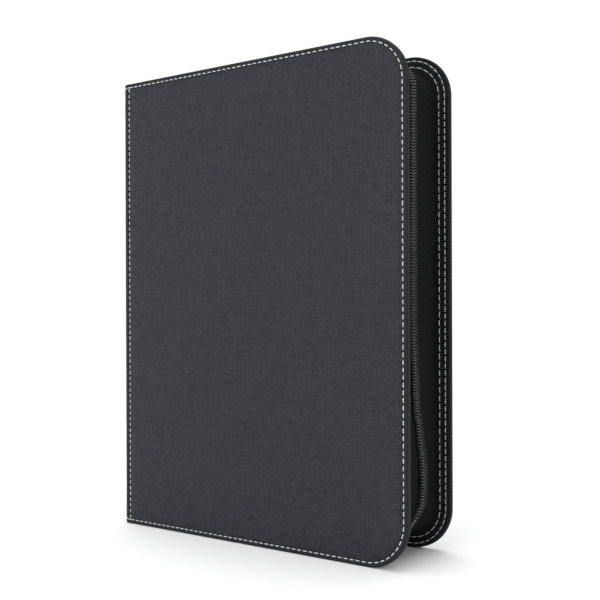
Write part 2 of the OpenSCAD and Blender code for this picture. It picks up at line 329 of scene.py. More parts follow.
def foam_material():
    """Open-cell foam sheet."""
    graph = Graph("pad_foam")
    cells = graph.add("TexVoronoi", {"Vector": graph.places(), "Scale": 1400.0}).outputs["Distance"]
    colour = graph.mix(cells, (0.10, 0.10, 0.10), (0.34, 0.34, 0.33))
    normal = graph.bump(cells, 0.0003, 0.8)
    return graph.finish(colour, graph.spread(cells, 0, 1, 0.98, 0.85), normal)


def page_material():
    """Embossed polypropylene page: a fine leather-like press pattern, with a soft gloss."""
    graph = Graph("page_sheet")
    emboss = graph.add("TexVoronoi", {"Vector": graph.places(), "Scale": 1100.0}).outputs["Distance"]
    haze = graph.noise(graph.places(), scale=35, detail=3.0)
    colour = graph.mix(emboss, (0.012, 0.012, 0.014), (0.026, 0.026, 0.029))
    colour = graph.mix(graph.spread(haze, 0.4, 0.7, 0.0, 0.3), colour, (0.035, 0.035, 0.04))
    normal = graph.bump(emboss, 0.00006, 0.6)
    return graph.finish(colour, graph.spread(haze, 0, 1, 0.5, 0.34), normal)


def film_material():
    """Clear pocket film: see-through, with faint ripples that catch the light."""
    graph = Graph("pocket_film")
    ripple = graph.noise(graph.places((40, 40, 90)), detail=3.0)
    scratches = graph.noise(graph.places((900, 300, 60)), detail=3.0)
    colour = graph.mix(graph.spread(scratches, 0.55, 0.8), (0.62, 0.64, 0.66), (0.85, 0.86, 0.88))
    roughness = graph.spread(scratches, 0.3, 0.8, 0.1, 0.3)
    normal = graph.bump(ripple, 0.0012, 0.35)
    return graph.finish(colour, roughness, normal, Alpha=0.22, Specular_IOR_Level=0.7)


def floor_material():
    """Pale matt studio floor with a barely visible mottle."""
    graph = Graph("studio_floor")
    mottle = graph.noise(graph.places(), scale=6, detail=4.0)
    colour = graph.mix(mottle, (0.84, 0.84, 0.845), (0.88, 0.88, 0.88))
    return graph.finish(colour, graph.spread(mottle, 0, 1, 0.85, 0.95))


LEATHERETTE = leatherette_material()
LINING = lining_material()
WHITE_THREAD = thread_material("white_thread", (0.36, 0.36, 0.37), (0.80, 0.80, 0.81))
# The webbing's white thread, painted darker than the edge thread: painted shade inside the zip.
SHADED_INNER_THREAD = thread_material("inner_thread_painted_shade", (0.30, 0.30, 0.31), (0.66, 0.66, 0.67))
WEBBING = webbing_material()
TAPE = tape_material()
COIL = coil_material()
ZIP_METAL = zip_metal_material()
BOARD = board_material()
FOAM = foam_material()
PAGE = page_material()
FILM = film_material()


# ---- Mesh helpers ----


class Shape:
    """Points and faces of one piece, with its real-scale coordinates and its wear."""

    def __init__(self):
        self.points = []
        self.cloth = []
        self.worn = []
        self.faces = []

    def row(self, points, cloth=None, worn=0.0):
        """Adds a row of points and returns their numbers."""
        first = len(self.points)
        self.points.extend(points)
        self.cloth.extend(cloth or [(p[0], p[2], p[1]) for p in points])
        self.worn.extend([worn] * len(points))
        return range(first, first + len(points))

    def join(self, rows, closed=True):
        """Joins each row to the next with four-sided faces."""
        for low, high in zip(rows, rows[1:]):
            count = len(low)
            for i in range(count if closed else count - 1):
                j = (i + 1) % count
                self.faces.append((low[i], low[j], high[j], high[i]))

    def cap(self, row):
        self.faces.append(tuple(row))

    def close(self, rows):
        """Joins the rows and caps the first and the last."""
        self.join(rows)
        self.cap(rows[0])
        self.cap(rows[-1])


def add_object(name, data):
    thing = bpy.data.objects.new(name, data)
    bpy.context.scene.collection.objects.link(thing)
    return thing


def finished_piece(name, mesh, material, body, replaced, sharp):
    """Shades a mesh, puts it in the scene, and rides it on a body."""
    mesh.shade_smooth()
    mesh.set_sharp_from_angle(angle=math.radians(sharp))
    mesh.materials.clear()
    mesh.materials.append(material)
    piece = add_object(name, mesh)
    if body:
        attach(piece, body)
    if replaced:
        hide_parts(*replaced)
    return piece


def make_piece(name, shape, material, body=None, replaced=(), sharp=50.0):
    """Makes a piece of the shape's points and faces, with its faces turned outward."""
    mesh = bpy.data.meshes.new(name)
    mesh.from_pydata(shape.points, [], shape.faces)
    cloth = mesh.attributes.new("cloth", "FLOAT_VECTOR", "POINT")
    cloth.data.foreach_set("vector", [value for point in shape.cloth for value in point])
    worn = mesh.attributes.new("worn", "FLOAT", "POINT")
    worn.data.foreach_set("value", shape.worn)
    edit = bmesh.new()
    edit.from_mesh(mesh)
    bmesh.ops.recalc_face_normals(edit, faces=edit.faces)
    edit.to_mesh(mesh)
    edit.free()
    return finished_piece(name, mesh, material, body, replaced, sharp)


def mixed(a, b, share):
    return tuple(x + (y - x) * share for x, y in zip(a, b))


def place(side, x, z, depth):
    """A point at a depth below the outer face of a cover."""
    return (x, OUTWARD[side] * (HALF_T - depth), z)


# A cover's outline and every ring inside it is (low x, high x, low z, high z, corner radius).


def shrunk(ring, inset):
    x0, x1, z0, z1, r = ring
    return (x0 + inset, x1 - inset, z0 + inset, z1 - inset, max(r - inset, 0.001))


def ring_spans(ring):
    """The lengths of the ring's six spans: bottom, corner, fore-edge, corner, top, crease side."""
    x0, x1, z0, z1, r = ring
    corner = math.pi / 2 * r
    return (x1 - r - x0, corner, z1 - z0 - 2 * r, corner, x1 - r - x0, z1 - z0)


def ring_point(ring, span, share):
    """The point at this share of one span of the ring, as (x, z)."""
    x0, x1, z0, z1, r = ring
    if span == 0:
        return (x0 + (x1 - r - x0) * share, z0)
    if span == 2:
        return (x1, z0 + r + (z1 - z0 - 2 * r) * share)
    if span == 4:
        return (x1 - r + (x0 - x1 + r) * share, z1)
    if span == 5:
        return (x0, z1 + (z0 - z1) * share)
    turn = math.pi / 2 * (share - 1 if span == 1 else share)
    centre_z = z0 + r if span == 1 else z1 - r
    return (x1 - r + r * math.cos(turn), centre_z + r * math.sin(turn))


OUTLINE = (COVER_X, FORE_X, skin_low.z, HEIGHT, CORNER_R)
STITCH_RING = (
    thread_low.x + THREAD_HALF,
    thread_high.x - THREAD_HALF,
    thread_low.z + THREAD_HALF,
    thread_high.z - THREAD_HALF,
    CORNER_R - (FORE_X - thread_high.x + THREAD_HALF),
)
STITCH_COUNTS = [round(span / pitch) for span, pitch in zip(ring_spans(STITCH_RING), SPAN_PITCHES)]


def ring_samples(step):
    """(span, share) of every sample round a cover, with a sample at each end of each stitch."""
    samples = []
    for span, stitches in enumerate(STITCH_COUNTS):
        count = stitches * step
        samples += [(span, i / count) for i in range(count)]
    return samples


# ---- Covers ----

# The skin's rings, as (inset from the outline, depth below the outer face): first the leather
# turned in behind the edge, then the edge itself.
TURN_IN = [(0.0013, COVER_T + 0.00003), (0.0008, COVER_T - 0.00003), (0.00038, COVER_T - 0.00016)]
EDGE = [(0.0001, COVER_T - 0.00045), (0.0, 0.0026), (0.0, 0.0019)]
EDGE += [(0.00014, 0.00135), (0.00045, 0.00098)]

# The border's rings, as (share of the way from the edge to the stitches, depth).
BORDER = [(0.36, BORDER_DEPTH), (0.62, BORDER_DEPTH), (0.84, 0.00092), (1.0, GROOVE_DEPTH)]

# The padded face's rings, as (inset from the stitches, depth).
CROWN = [
    (0.0005, 0.001), (0.001, 0.00076), (0.0018, 0.00052), (0.003, 0.00031),
    (0.005, 0.00015), (0.009, 0.00004), (0.016, -0.00002), (0.03, -0.00008),
    (0.046, -0.00012), (0.062, -0.00014), (0.076, -0.00015), (0.085, -0.00015),
]


def sway(x, z):
    """Slow unevenness of the padded face."""
    waves = math.sin(41 * x + 17 * z) + math.sin(23 * z - 31 * x + 1.3) + math.sin(57 * z + 2.1)
    return SWAY_H * waves


def cover_skin(side):
    """The leatherette of one cover, with a hole in its groove at both ends of each stitch."""
    shape = Shape()
    samples = ring_samples(LOOP_SAMPLES)
    border_outline = (CREASE_X, *OUTLINE[1:])
    rubbed_w = 0.006
    firm_w = 0.02
    face_w = CROWN[-1][0]
    rows = []

    def add(ring, depth, worn, holes=0.0, calm=1.0):
        points = []
        for number, (span, share) in enumerate(samples):
            x, z = ring_point(ring, span, share)
            sink = holes if number % LOOP_SAMPLES == 0 else 0.0
            points.append(place(side, x, z, depth + sink + sway(x, z) * (1 - calm)))
        rows.append(shape.row(points, worn=worn))

    for inset, depth in TURN_IN + EDGE:
        add(shrunk(OUTLINE, inset), depth, 1.0)
    for share, depth in BORDER:
        holes = HOLE_DEPTH if share == 1.0 else 0.0
        add(mixed(border_outline, STITCH_RING, share), depth, 1.0 - 0.45 * share, holes)
    for inset, depth in CROWN:
        worn = max(0.0, 0.5 - inset / rubbed_w)
        calm = 1.0 - min(1.0, inset / firm_w) * (1.0 - min(1.0, inset / face_w) ** 4)
        add(shrunk(STITCH_RING, inset), depth, worn, calm=calm)
    shape.join(rows)
    shape.cap(rows[-1])
    name = f"{side}_cover_leather"
    make_piece(name, shape, LEATHERETTE, f"{side}_cover", [f"{side}_skin"])


def cover_pad(side):
    """The foam under the skin, pressed thin along the row of stitches."""
    shape = Shape()
    samples = ring_samples(1)
    rows = []
    clearance = 0.00002
    under = BOARD_DEPTH - clearance
    thinnest = 0.0001
    skin_t = 0.0005
    levels = [
        (shrunk(OUTLINE, 0.002), under),
        (shrunk(OUTLINE, 0.0014), under - thinnest),
        (STITCH_RING, under - 0.00006),
    ]
    for inset, depth in CROWN:
        levels.append((shrunk(STITCH_RING, inset), min(under - thinnest, depth + skin_t)))
    for ring, depth in levels:
        points = [place(side, *ring_point(ring, *sample), depth) for sample in samples]
        rows.append(shape.row(points))
    shape.close(rows)
    piece = make_piece(f"{side}_foam_pad", shape, FOAM, f"{side}_cover", [f"{side}_pad"])


# ---- Stitches ----


def add_stitch(shape, points, outward, along, radius=THREAD_R, lift=STITCH_LIFT):
    """One arched stitch through these points. Both its ends dive under the surface."""
    length = (Vector(points[-1]) - Vector(points[0])).length
    last = len(points) - 1
    rows = []
    for i, point in enumerate(points):
        share = i / last
        arch = math.sin(math.pi * share)
        up = Vector(outward[i])
        centre = Vector(point) + up * (lift * arch ** 0.4 - radius * (1 - arch ** 0.3))
        before = Vector(points[max(i - 1, 0)])
        after = Vector(points[min(i + 1, last)])
        forward = (after - before).normalized()
        across = forward.cross(up).normalized()
        width = radius * (0.7 + 0.3 * arch ** 0.4)
        ring = []
        cloth = []
        for k in range(STITCH_SIDES):
            turn = math.tau * k / STITCH_SIDES
            sideways = across * width * math.cos(turn)
            ring.append(tuple(centre + sideways + up * width * STITCH_FLATNESS * math.sin(turn)))
            cloth.append((along + share * length, width * turn, 0))
        rows.append(shape.row(ring, cloth))
    shape.close(rows)


def stitch_shares(share=0.74, points=7):
    """Where a stitch's points fall between one hole, at 0, and the next, at 1."""
    start = (1 - share) / 2
    return [start + share * i / (points - 1) for i in range(points)]


def edge_stitches(side):
    shape = Shape()
    out = (0, OUTWARD[side], 0)
    along = 0.0
    for span, count in enumerate(STITCH_COUNTS):
        for stitch in range(count):
            points = []
            for share in stitch_shares():
                x, z = ring_point(STITCH_RING, span, (stitch + share) / count)
                points.append(place(side, x, z, GROOVE_DEPTH))
            add_stitch(shape, points, [out] * len(points), along)
            along += EDGE_PITCH
    name = f"{side}_edge_stitches"
    make_piece(name, shape, WHITE_THREAD, f"{side}_cover", [f"{side}_edge_thread"])


# ---- Bands that follow the top, fore and bottom edges ----


class BandPath:
    """A U-shaped path inside a cover's edge: top run, corner, fore run, corner, bottom run."""

    def __init__(self, inset, x_start, x_end=None):
        self.inset = inset
        self.x_start = x_start
        self.r = CORNER_R - inset
        self.centre_x = FORE_X - CORNER_R
        self.run_top = self.centre_x - x_start
        self.arc = math.pi / 2 * self.r
        self.run_fore = HEIGHT - 2 * CORNER_R
        self.run_bottom = self.centre_x - (x_start if x_end is None else x_end)
        self.length = self.run_top + 2 * self.arc + self.run_fore + self.run_bottom

    def at(self, s):
        """The point and the outward direction at the length s along the path, in x and z."""
        if s < self.run_top:
            return (self.x_start + s, HEIGHT - self.inset), (0, 1)
        s -= self.run_top
        if s < self.arc:
            return self.on_arc(math.pi / 2 - s / self.r, HEIGHT - CORNER_R)
        s -= self.arc
        if s < self.run_fore:
            return (FORE_X - self.inset, HEIGHT - CORNER_R - s), (1, 0)
        s -= self.run_fore
        if s < self.arc:
            return self.on_arc(-s / self.r, CORNER_R)
        s -= self.arc
        return (self.centre_x - s, self.inset), (0, -1)

    def on_arc(self, turn, centre_z):
        out = (math.cos(turn), math.sin(turn))
        return (self.centre_x + self.r * out[0], centre_z + self.r * out[1]), out

    def steps(self, pitch, per_pitch=1):
        """Even lengths along the path, with a whole number of pitches."""
        count = round(self.length / pitch) * per_pitch
        return [self.length * i / count for i in range(count + 1)]


WEBBING_T = -skin_high.y - WEBBING_Y
WEBBING_W = 0.013
WEBBING_OUTSET = 0.0003
RIB_WAVE = (0.0, 0.8, 1.0, 0.8)

# The webbing's cross-section: (distance inwards from its outer edge, share of its thickness).
WEBBING_SECTION = [
    (0.0, 0.1), (0.0, 0.72), (0.0005, 1.08), (0.0011, 0.92),
    (0.0016, 0.86), (0.0030, 0.9), (0.0054, 0.9), (0.0080, 0.92),
    (0.0110, 0.92), (WEBBING_W - 0.0004, 0.86), (WEBBING_W, 0.6), (WEBBING_W, 0.1),
]


def webbing_band(side):
    """Ribbed webbing, its ribs and its beaded outer selvage in the mesh."""
    low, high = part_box(f"{side}_webbing")
    path = BandPath(FORE_X - high.x - WEBBING_OUTSET, low.x)
    inner = HALF_T - COVER_T
    thickness = WEBBING_T - RIB_H
    steps = len(RIB_WAVE)
    shape = Shape()
    rows = []
    for number, s in enumerate(path.steps(RIB_PITCH, steps)):
        (edge_x, edge_z), out = path.at(s)
        rib = RIB_H * RIB_WAVE[number % steps]
        points = []
        cloth = []
        for distance, share in WEBBING_SECTION:
            x = edge_x - out[0] * distance
            z = edge_z - out[1] * distance
            height = thickness * share + (rib if share > 0.5 else 0.0)
            points.append((x, OUTWARD[side] * (inner - height), z))
            cloth.append((number / steps * RIB_PITCH, distance, height))
        rows.append(shape.row(points, cloth))
    shape.close(rows)
    name = f"{side}_ribbed_webbing"
    piece = make_piece(name, shape, WEBBING, f"{side}_cover", [f"{side}_webbing"], sharp=70)


# The two rows of stitches on the webbing: (inset from the cover's edge, pitch, thread radius).
WEBBING_ROWS = [(0.0024, 0.0036, 0.00022), (0.0056, 0.00424, 0.00022)]


def webbing_stitches(side):
    """Two rows of stitches that hold the webbing and the zip tape to the cover."""
    shape = Shape()
    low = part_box(f"{side}_webbing_thread")[0]
    out = (0, -OUTWARD[side], 0)
    level = WEBBING_Y + WEBBING_T * 0.1 - RIB_H
    lift = 0.0003
    for inset, pitch, radius in WEBBING_ROWS:
        path = BandPath(inset, low.x + 0.001)
        count = round(path.length / pitch)
        for stitch in range(count):
            points = []
            for share in stitch_shares(0.76):
                (x, z), _ = path.at(path.length * (stitch + share) / count)
                points.append((x, OUTWARD[side] * level, z))
            add_stitch(shape, points, [out] * len(points), stitch * pitch, radius, lift)
    name = f"{side}_webbing_stitches"
    # These stitches use the darker copy of the white thread, whose darkness is painted shade.
    make_piece(name, shape, SHADED_INNER_THREAD, f"{side}_cover", [f"{side}_webbing_thread"])


# ---- Zip ----

TAPE_INSET = FORE_X - tape_high.x
TAPE_T = 0.0006
COIL_H = coil_high.z - tape_high.z
COIL_W = coil_high.y - coil_low.y
COIL_EDGE = -coil_high.y
TAPE_EDGE = -tape_high.y
TAPE_STEP = 0.0018
TAPE_LEVELS = 7
TAPE_BOW = 0.0004

# How far a coil's loops reach past the middle of the chain, and how much wider they are on the
# fore-edge.
COIL_MESHING = 0.0002
COIL_SPREAD = 0.0004

# How far the closed chain strays along the fore-edge: (outwards, towards the rear cover).
PULLED = (-0.0010, -0.0025)
PUSHED = (0.0013, 0.0031)
TUCKED = (-0.0035, -0.0012)


def bell(value, middle, half):
    """1 at the middle, falling smoothly to 0 at this distance on each side."""
    distance = min(1.0, abs(value - middle) / half)
    return (1 - distance * distance) ** 2


def rise(value, low, high):
    """0 below low, 1 above high, and a smooth step between them."""
    share = min(1.0, max(0.0, (value - low) / (high - low)))
    return share * share * (3 - 2 * share)


def chain_shift(z):
    """The chain's stray at this height: a waist above, a bulge below it, and a tucked lower end."""
    bulge_z = 0.038
    pulled = rise(z, 0.045, 0.125)
    pushed = bell(z, bulge_z, 0.042 if z > bulge_z else 0.026)
    tucked = bell(z, 0.0135, 0.015)
    return [PULLED[i] * pulled + PUSHED[i] * pushed + TUCKED[i] * tucked for i in range(2)]


def chain_frame(path, s):
    """The chain's own point at s, with its shift, as ((x, z), outward direction, shift in y)."""
    (x, z), out = path.at(s)
    on_fore = min(1.0, max(0.0, out[0]))
    outwards, rearwards = [shift * on_fore for shift in chain_shift(z)]
    return (x + out[0] * outwards, z + out[1] * outwards), out, rearwards


def tape_wall(side):
    """Half of the zip tape, standing on the webbing, with its edge under the coil."""
    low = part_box(f"{side}_tape")[0]
    path = BandPath(TAPE_INSET, low.x)
    sign = OUTWARD[side]
    shape = Shape()
    rows = []
    for s in path.steps(TAPE_STEP):
        (x, z), out = path.at(s)
        (far_x, far_z), _, shift = chain_frame(path, s)
        outer = []
        inner = []
        for level in range(TAPE_LEVELS):
            share = level / (TAPE_LEVELS - 1)
            ease = rise(share, 0.0, 1.0)
            bow = -TAPE_BOW * math.sin(math.pi * share)
            here_x = x + (far_x - x) * ease + out[0] * bow
            here_z = z + (far_z - z) * ease + out[1] * bow
            y = sign * (WEBBING_Y + (TAPE_EDGE - WEBBING_Y) * share) + shift * ease
            across = WEBBING_Y * share
            outer.append(((here_x, y, here_z), (s, across, 0.0)))
            inner.append(((here_x - out[0] * TAPE_T, y, here_z - out[1] * TAPE_T), (s, across, TAPE_T)))
        loop = outer + inner[::-1]
        rows.append(shape.row([point for point, _ in loop], [cloth for _, cloth in loop]))
    shape.close(rows)
    piece = make_piece(f"{side}_zip_tape", shape, TAPE, f"{side}_cover", [f"{side}_tape"])


def coil(side):
    """One coil of the chain: a nylon wire whose loops mesh with the other coil's loops."""
    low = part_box(f"{side}_coil")[0]
    sign = OUTWARD[side]
    slider_gap = 0.0006
    slider_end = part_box("slider_body")[1].x + slider_gap
    path = BandPath(TAPE_INSET, slider_end, low.x)
    shape = Shape()
    rows = []
    turns = round(path.length / COIL_PITCH)
    count = turns * COIL_TURN_POINTS
    phase = 0.0 if side == "front" else math.pi
    outer_y = COIL_EDGE + COIL_W
    centres = []
    for i in range(count + 1):
        s = path.length * i / count
        turn = math.tau * i / COIL_TURN_POINTS + phase
        (x, z), out, shift = chain_frame(path, s)
        height = COIL_H / 2 - (COIL_H / 2 - COIL_WIRE_R) * math.cos(turn)
        y_share = 0.5 + 0.5 * math.sin(turn)
        reach = outer_y - COIL_WIRE_R + COIL_MESHING + COIL_SPREAD * max(0.0, out[0])
        y = sign * (reach * y_share - COIL_MESHING) + shift
        centres.append(Vector((x + out[0] * height, y, z + out[1] * height)))
    for i, centre in enumerate(centres):
        forward = (centres[min(i + 1, count)] - centres[max(i - 1, 0)]).normalized()
        up = Vector((0, 1, 0)) if abs(forward.y) < 0.7 else Vector((0.6, 0, 0.8))
        across = forward.cross(up).normalized()
        other = forward.cross(across)
        ring = []
        for k in range(COIL_SIDES):
            turn = math.tau * k / COIL_SIDES
            arm = across * math.cos(turn) + other * math.sin(turn)
            ring.append(tuple(centre + arm * COIL_WIRE_R))
        rows.append(shape.row(ring))
    shape.close(rows)
    make_piece(f"{side}_coil_wire", shape, COIL, f"{side}_cover", [f"{side}_coil"])


# ---- Metal parts of the zip: softened copies of their CAD shapes ----


def softened_copy(node, name, body, bevel):
    """A copy of a CAD node with its seams welded and its edges rounded, in the node's place."""
    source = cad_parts[node]
    mesh = bpy.data.meshes.new(name)
    edit = bmesh.new()
    edit.from_mesh(source.data)
    bmesh.ops.remove_doubles(edit, verts=edit.verts, dist=1e-6)
    bmesh.ops.dissolve_limit(edit, angle_limit=math.radians(1), verts=edit.verts, edges=edit.edges)
    sharp = [e for e in edit.edges if e.is_manifold and e.calc_face_angle(0) > math.radians(30)]
    bmesh.ops.bevel(
        edit, geom=sharp, offset=bevel, offset_type="OFFSET", affect="EDGES",
        segments=3, profile=0.5, clamp_overlap=True,
    )
    edit.to_mesh(mesh)
    edit.free()
    finished_piece(name, mesh, ZIP_METAL, body, [node], sharp=35)


# ---- Spine ----


def spine_skin():
    """The spine's leather: it turns in over the board at head and tail."""
    half = spine_high.y
    depth = spine_high.x - spine_low.x
    lip = 0.0008
    profile = [
        (depth, lip + 0.0004), (depth, 0.00035), (depth - 0.00025, 0.00005), (depth - 0.0007, 0.0),
        (0.0011, 0.0), (0.0005, 0.00012), (0.00014, 0.00042), (0.0, 0.0009),
        (0.0, 0.0019), (0.0, 0.0031), (0.00012, 0.0037), (0.00040, 0.0042),
        (0.00046, 0.0046), (0.00040, 0.0050), (0.00012, 0.0055), (0.0, 0.0061),
    ]
    steps = 24
    across = [-half + 2 * half * i / steps for i in range(steps + 1)]
    shape = Shape()
    ends = []
    for foot in (True, False):
        rows = []
        for x_in, inset in profile:
            z = inset if foot else HEIGHT - inset
            points = [(SPINE_X + x_in, y, z) for y in across]
            rows.append(shape.row(points, worn=1.0 if inset < 0.0012 else 0.3))
        shape.join(rows, closed=False)
        ends.append(rows[-1])
    spans = 40
    previous = ends[0]
    low = profile[-1][1]
    for i in range(1, spans):
        z = low + (HEIGHT - 2 * low) * i / spans
        row = shape.row([(SPINE_X + 0.00004 * math.sin(90 * z + 60 * y), y, z) for y in across])
        shape.join([previous, row], closed=False)
        previous = row
    shape.join([previous, ends[1]], closed=False)
    make_piece("spine_leather", shape, LEATHERETTE, "spine", ["spine_skin"])


SPINE_ROW_DEPTH = 0.00042
CREASE_ROW_DEPTH = 0.00012
SPINE_ROW_Z = (spine_row_low.z + THREAD_HALF, spine_row_high.z - THREAD_HALF)

# Where the two slanted stitches lie, in shares of the crease's arc.
CREASE_STITCHES = ((0.04, 0.48), (0.56, 0.99))


def spine_stitches():
    """A row of stitches across the spine at its head and its tail."""
    half = spine_high.y
    shape = Shape()
    count = round(2 * half / EDGE_PITCH)
    for z in SPINE_ROW_Z:
        for stitch in range(count):
            points = []
            for share in stitch_shares():
                y = -half + 2 * half * (stitch + share) / count
                points.append((SPINE_X + SPINE_ROW_DEPTH, y, z))
            add_stitch(shape, points, [(-1, 0, 0)] * len(points), stitch * EDGE_PITCH)
    make_piece("spine_stitches", shape, WHITE_THREAD, "spine", ["spine_thread"])


def crease_arc(side, share, inset=0.0):
    """A point and the outward direction on the crease, from the spine at 0 to the cover at 1."""
    turn = math.pi / 2 * share
    rx = CREASE_R - inset
    ry = CREASE_R - BORDER_DEPTH * share - inset
    x = CREASE_X - rx * math.cos(turn)
    y = HALF_T - CREASE_R + ry * math.sin(turn)
    out = Vector((-math.cos(turn), OUTWARD[side] * math.sin(turn), 0)).normalized()
    return Vector((x, OUTWARD[side] * y, 0)), out


def crease_strip(side):
    """The leather that turns from the spine to a cover, folded in at head and tail."""
    shape = Shape()
    steps = 14
    ends = [(0.0011, 0.0), (0.0005, 0.00012), (0.00014, 0.00042), (0.0, 0.0009), (0.0, 0.0018)]
    levels = list(ends)
    spans = 36
    low = ends[-1][1]
    for i in range(1, spans):
        levels.append((0.00004 * math.sin(9 * i), low + (HEIGHT - 2 * low) * i / spans))
    levels += [(sink, HEIGHT - inset) for sink, inset in reversed(ends)]
    rows = []
    for sink, z in levels:
        faces = []
        for inset in (sink, LEATHER_T + 0.0006):
            arc = [crease_arc(side, i / steps, inset)[0] for i in range(steps + 1)]
            faces.append([(point.x, point.y, z) for point in arc])
        outer, inner = faces
        rows.append(shape.row(outer + inner[::-1], worn=0.75))
    shape.close(rows)
    name = f"{side}_crease_leather"
    piece = make_piece(name, shape, LEATHERETTE, None, [f"{side}_crease"])
    blend_crease(piece)


def blend_crease(piece):
    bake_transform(piece)


def crease_stitches(side):
    """Stitches over the crease: two slanted ones, and a short one where the cover's row begins."""
    shape = Shape()
    cover_z = (STITCH_RING[2], STITCH_RING[3])
    steps = 6
    last_w = 0.0018
    for spine_z, edge_z in zip(SPINE_ROW_Z, cover_z):
        for first, last in CREASE_STITCHES:
            points = []
            outs = []
            for i in range(steps + 1):
                share = first + (last - first) * i / steps
                point, out = crease_arc(side, share, CREASE_ROW_DEPTH)
                point.z = spine_z + (edge_z - spine_z) * share
                points.append(tuple(point))
                outs.append(tuple(out))
            add_stitch(shape, points, outs, 0.0)
        points = [place(side, CREASE_X + last_w * i / 5, edge_z, BORDER_DEPTH) for i in range(6)]
        add_stitch(shape, points, [(0, OUTWARD[side], 0)] * 6, 0.0)
    piece = make_piece(f"{side}_crease_stitches", shape, WHITE_THREAD)
    blend_crease(piece)


def inner_hinge(side):
    """The strip of lining that bridges the spine's lining and a cover's lining."""
    shape = Shape()
    sign = OUTWARD[side]
    spine_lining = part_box("spine_lining")
    cover_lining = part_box(f"{side}_lining")
    start = Vector((spine_lining[1].x + 0.0001, sign * (HALF_T - CREASE_R - 0.0035), 0))
    end = Vector((cover_lining[0].x + 0.003, sign * (HALF_T - COVER_T - 0.0001), 0))
    bend = Vector((start.x + 0.0004, end.y, 0))
    rows = []
    steps = 16
    lining_t = 0.0002
    margin = 0.0012
    spans = 30
    for number in range(spans + 1):
        z = margin + (HEIGHT - 2 * margin) * number / spans
        top = []
        under = []
        for i in range(steps + 1):
            share = i / steps
            point = start * (1 - share) ** 2 + bend * 2 * share * (1 - share) + end * share ** 2
            top.append((point.x, point.y, z))
            under.append((point.x - lining_t, point.y + sign * lining_t, z))
        rows.append(shape.row(top + under[::-1]))
    shape.close(rows)
    piece = make_piece(f"{side}_hinge_lining", shape, LINING)
    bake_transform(piece)


def stay_path(length, foot, bend):
    """A stay's middle line from its sewn foot to its free end, as (x, z, direction)."""
    count = int((foot - bend) / STAY_STEP)
    line = [(0.0, foot - STAY_STEP * i, -math.pi / 2) for i in range(count + 1)]
    bend_steps = 6
    for i in range(1, bend_steps + 1):
        turn = math.pi / 2 * i / bend_steps
        line.append((bend * (1 - math.cos(turn)), bend * (1 - math.sin(turn)), turn - math.pi / 2))
    count = round((length - bend) / STAY_STEP)
    line += [(bend + (length - bend) * i / count, 0.0, 0.0) for i in range(1, count + 1)]
    return line


def stay_pieces():
    """The two ribbed tabs that tie the zip's ends to the spine, each with a foot sewn to its lining."""
    length = stay_high.x - stay_low.x - TAPE_T / 2
    width = stay_high.y - stay_low.y
    foot = 0.0056
    bend = 0.0009
    edge = [(-0.5, 0.3), (-0.48, 0.5), (-0.3, 0.44), (0.3, 0.44), (0.48, 0.5), (0.5, 0.3)]
    outline = edge + [(y, -z) for y, z in reversed(edge)]
    tail_z = stay_low.z + TAPE_T / 2
    head_z = stay_high.z - TAPE_T / 2
    for end, middle_z, upward in (("tail", tail_z, 1), ("head", head_z, -1)):
        shape = Shape()
        rows = []
        for number, (x_out, z_up, turn) in enumerate(stay_path(length, foot, bend)):
            rib = 1.0 + 0.3 * (number % 2)
            points = []
            cloth = []
            for y, z in outline:
                lift = z * TAPE_T * rib
                x = stay_low.x + TAPE_T / 2 + x_out - lift * math.sin(turn)
                points.append((x, y * width, middle_z + upward * (z_up + lift * math.cos(turn))))
                cloth.append((number * STAY_STEP, y * width, lift))
            rows.append(shape.row(points, cloth))
        shape.close(rows)
        name = f"zip_{end}_stay"
        piece = make_piece(name, shape, WEBBING, "spine", ["zip_stays"], sharp=70)


# ---- Pages ----

PAGE_NAMES = sorted(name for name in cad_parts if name.startswith("page_"))


def page_pieces(node):
    """A page: its embossed sheet, and two clear pockets by two on each of its faces."""
    low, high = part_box(node)
    middle_y = (low.y + high.y) / 2
    radius = 0.004
    fold_x = low.x - PAGE_FOLD
    root_x = strip_face(middle_y)
    seam = 0.004
    spine_margin = 0.013

    lower = [(root_x, low.z), (fold_x, low.z)]
    lower += [(low.x + 0.004 * i, low.z) for i in range(4)]
    lower += [(low.x + 0.02 + (high.x - radius - low.x - 0.02) * i / 6, low.z) for i in range(6)]
    corner_steps = 8
    for k in range(corner_steps + 1):
        turn = math.pi / 2 * (k / corner_steps - 1)
        x = high.x - radius + radius * math.cos(turn)
        lower.append((x, low.z + radius + radius * math.sin(turn)))
    count = 8
    shape = Shape()
    middle = (low.z + high.z) / 2
    rows = []
    for face in (-1, 1):
        face_rows = []
        y = middle_y + face * PAGE_SHEET_T / 2
        for x, z in lower:
            points = [(x, y, z + 2 * (middle - z) * i / count) for i in range(count + 1)]
            face_rows.append(shape.row(points))
        shape.join(face_rows, closed=False)
        rows.append(face_rows)
    rim = []
    for face_rows in rows:
        loop = [row[0] for row in face_rows] + list(face_rows[-1])[1:-1]
        loop += [row[-1] for row in reversed(face_rows)] + list(reversed(face_rows[0]))[1:-1]
        rim.append(loop)
    shape.join(rim)
    piece = make_piece(f"{node}_sheet", shape, PAGE, None, [node])
    blend_page(piece)

    shape = Shape()
    left = low.x + spine_margin
    right = high.x - seam
    bottom = low.z + seam
    top = high.z - seam
    wide = (right - left - seam) / 2
    tall = (top - bottom - seam) / 2
    for face in (-1, 1):
        for column in range(2):
            for storey in range(2):
                x0 = left + column * (wide + seam)
                z0 = bottom + storey * (tall + seam)
                pocket(shape, x0, x0 + wide, z0, z0 + tall, middle_y, face)
    piece = make_piece(f"{node}_pockets", shape, FILM, None)
    blend_page(piece)


